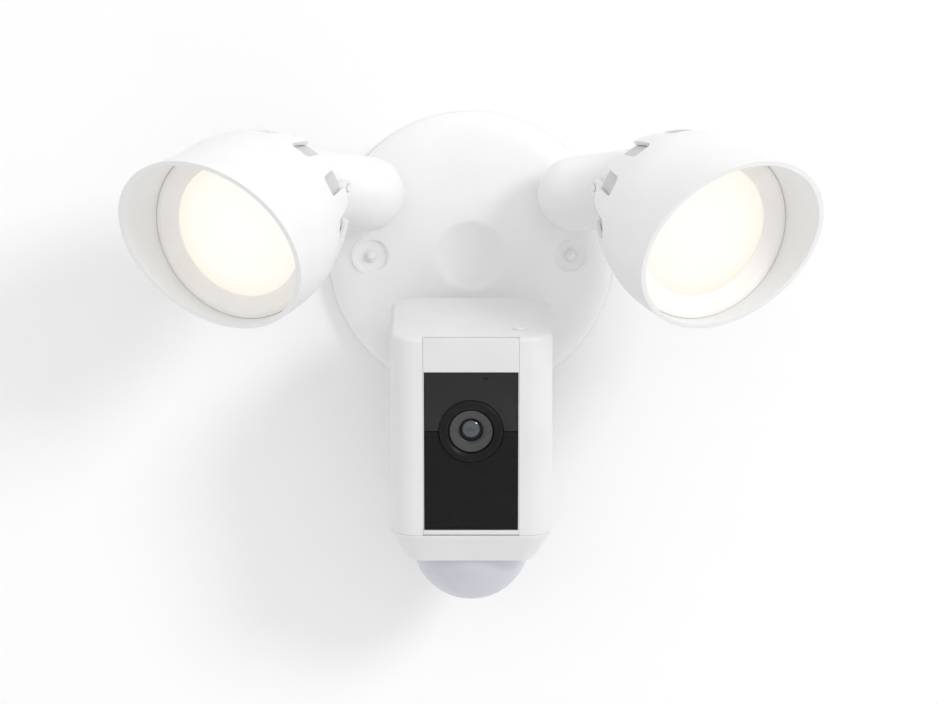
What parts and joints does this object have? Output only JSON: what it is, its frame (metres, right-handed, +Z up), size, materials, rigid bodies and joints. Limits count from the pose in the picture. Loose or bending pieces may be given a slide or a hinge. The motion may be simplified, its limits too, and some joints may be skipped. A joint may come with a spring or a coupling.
{
  "type": "floodlight security camera",
  "caption": "Wall-mounted floodlight with adjustable hooded lamps on arms and a tilting security camera with a motion-sensor dome below.",
  "frame": {"origin": "middle of the crossbar's back face, on the wall plane", "axes": "+Y into the wall, the object stands out along -Y, +X to the right of someone facing it, +Z up"},
  "size_m": [0.2986, 0.1544, 0.2111],
  "materials": {
    "black_gloss": "smooth gloss black plastic",
    "black_plastic": "matt black plastic",
    "circuit_board": "green solder mask",
    "diffuser": "frosted diffuser, lit warm white",
    "dome_plastic": "frosted polyethylene",
    "grey_metal": "zinc-plated steel",
    "lens_glass": "coated optical glass",
    "nylon": "natural nylon",
    "reflector": "smooth white moulded",
    "rubber": "soft black sealing rubber",
    "white_metal": "white powder-coated die-cast aluminium",
    "white_plastic": "satin moulded white plastic, UV stable"
  },
  "bodies": {
    "root": {"wall_plate": "white_plastic", "plate_gasket": "rubber", "mounting_bracket": "grey_metal", "left_stud": "grey_metal", "right_stud": "grey_metal", "left_cap_nut": "white_metal", "right_cap_nut": "white_metal", "lamp_driver": "black_plastic", "terminal_block": "nylon", "left_arm_seal": "rubber", "right_arm_seal": "rubber", "camera_stem": "white_metal", "stem_nut": "grey_metal"},
    "left_arm_body": {"left_arm": "white_plastic", "left_arm_nut": "grey_metal"},
    "right_arm_body": {"right_arm": "white_plastic", "right_arm_nut": "grey_metal"},
    "left_head": {"left_lamp_shell": "white_plastic", "left_lens": "diffuser", "left_bezel": "reflector", "left_reflector": "reflector", "left_led_board": "circuit_board", "left_heat_sink": "white_metal", "left_ball_clamp": "white_plastic", "left_pivot_pin": "white_metal", "left_lock_screw": "white_metal"},
    "right_head": {"right_lamp_shell": "white_plastic", "right_lens": "diffuser", "right_bezel": "reflector", "right_reflector": "reflector", "right_led_board": "circuit_board", "right_heat_sink": "white_metal", "right_ball_clamp": "white_plastic", "right_pivot_pin": "white_metal", "right_lock_screw": "white_metal"},
    "pan_liner": {"ball_liner": "nylon"},
    "camera": {"housing_shell": "white_plastic", "rear_cover": "white_plastic", "front_strip": "white_plastic", "black_panel": "black_gloss", "speaker_grille": "black_plastic", "lens_ring": "black_plastic", "lens_barrel": "black_plastic", "lens_glass": "lens_glass", "sensor_board": "circuit_board", "infrared_board": "circuit_board", "main_board": "circuit_board", "heat_spreader": "grey_metal", "speaker": "black_plastic", "microphone": "grey_metal", "bottom_skirt": "white_plastic", "motion_dome": "dome_plastic", "motion_board": "circuit_board", "motion_sensor": "grey_metal", "ball_socket": "white_plastic", "lock_collar": "white_plastic", "left_rear_screw": "grey_metal", "right_rear_screw": "grey_metal"},
    "button": {"setup_button": "white_plastic"}
  },
  "joints": [
    {"name": "left_arm_swivel", "type": "hinge", "parent": "root", "child": "left_arm_body", "pos_m": [-0.042, -0.0163, 0.026], "axis": [0, 1, 0], "range_deg": [-8, 30]},
    {"name": "right_arm_swivel", "type": "hinge", "parent": "root", "child": "right_arm_body", "pos_m": [0.042, -0.0163, 0.026], "axis": [0, -1, 0], "range_deg": [-8, 30]},
    {"name": "left_head_tilt", "type": "hinge", "parent": "left_arm_body", "child": "left_head", "pos_m": [-0.0715, -0.052, 0.0345], "axis": [-0.8829, 0.4695, 0], "range_deg": [-20, 20]},
    {"name": "right_head_tilt", "type": "hinge", "parent": "right_arm_body", "child": "right_head", "pos_m": [0.0715, -0.052, 0.0345], "axis": [-0.8829, -0.4695, 0], "range_deg": [-20, 20]},
    {"name": "camera_pan", "type": "hinge", "parent": "root", "child": "pan_liner", "pos_m": [0, -0.0295, -0.0435], "axis": [0, 0, 1], "range_deg": [-15, 15]},
    {"name": "camera_tilt", "type": "hinge", "parent": "pan_liner", "child": "camera", "pos_m": [0, -0.0295, -0.0435], "axis": [-1, 0, 0], "range_deg": [-10, 15]},
    {"name": "button_press", "type": "slide", "parent": "camera", "child": "button", "axis": [0, 0.1668, -0.986], "range_m": [0, 0.0008], "stiffness_N_per_m": 600, "springref_m": -0.0008}
  ]
}
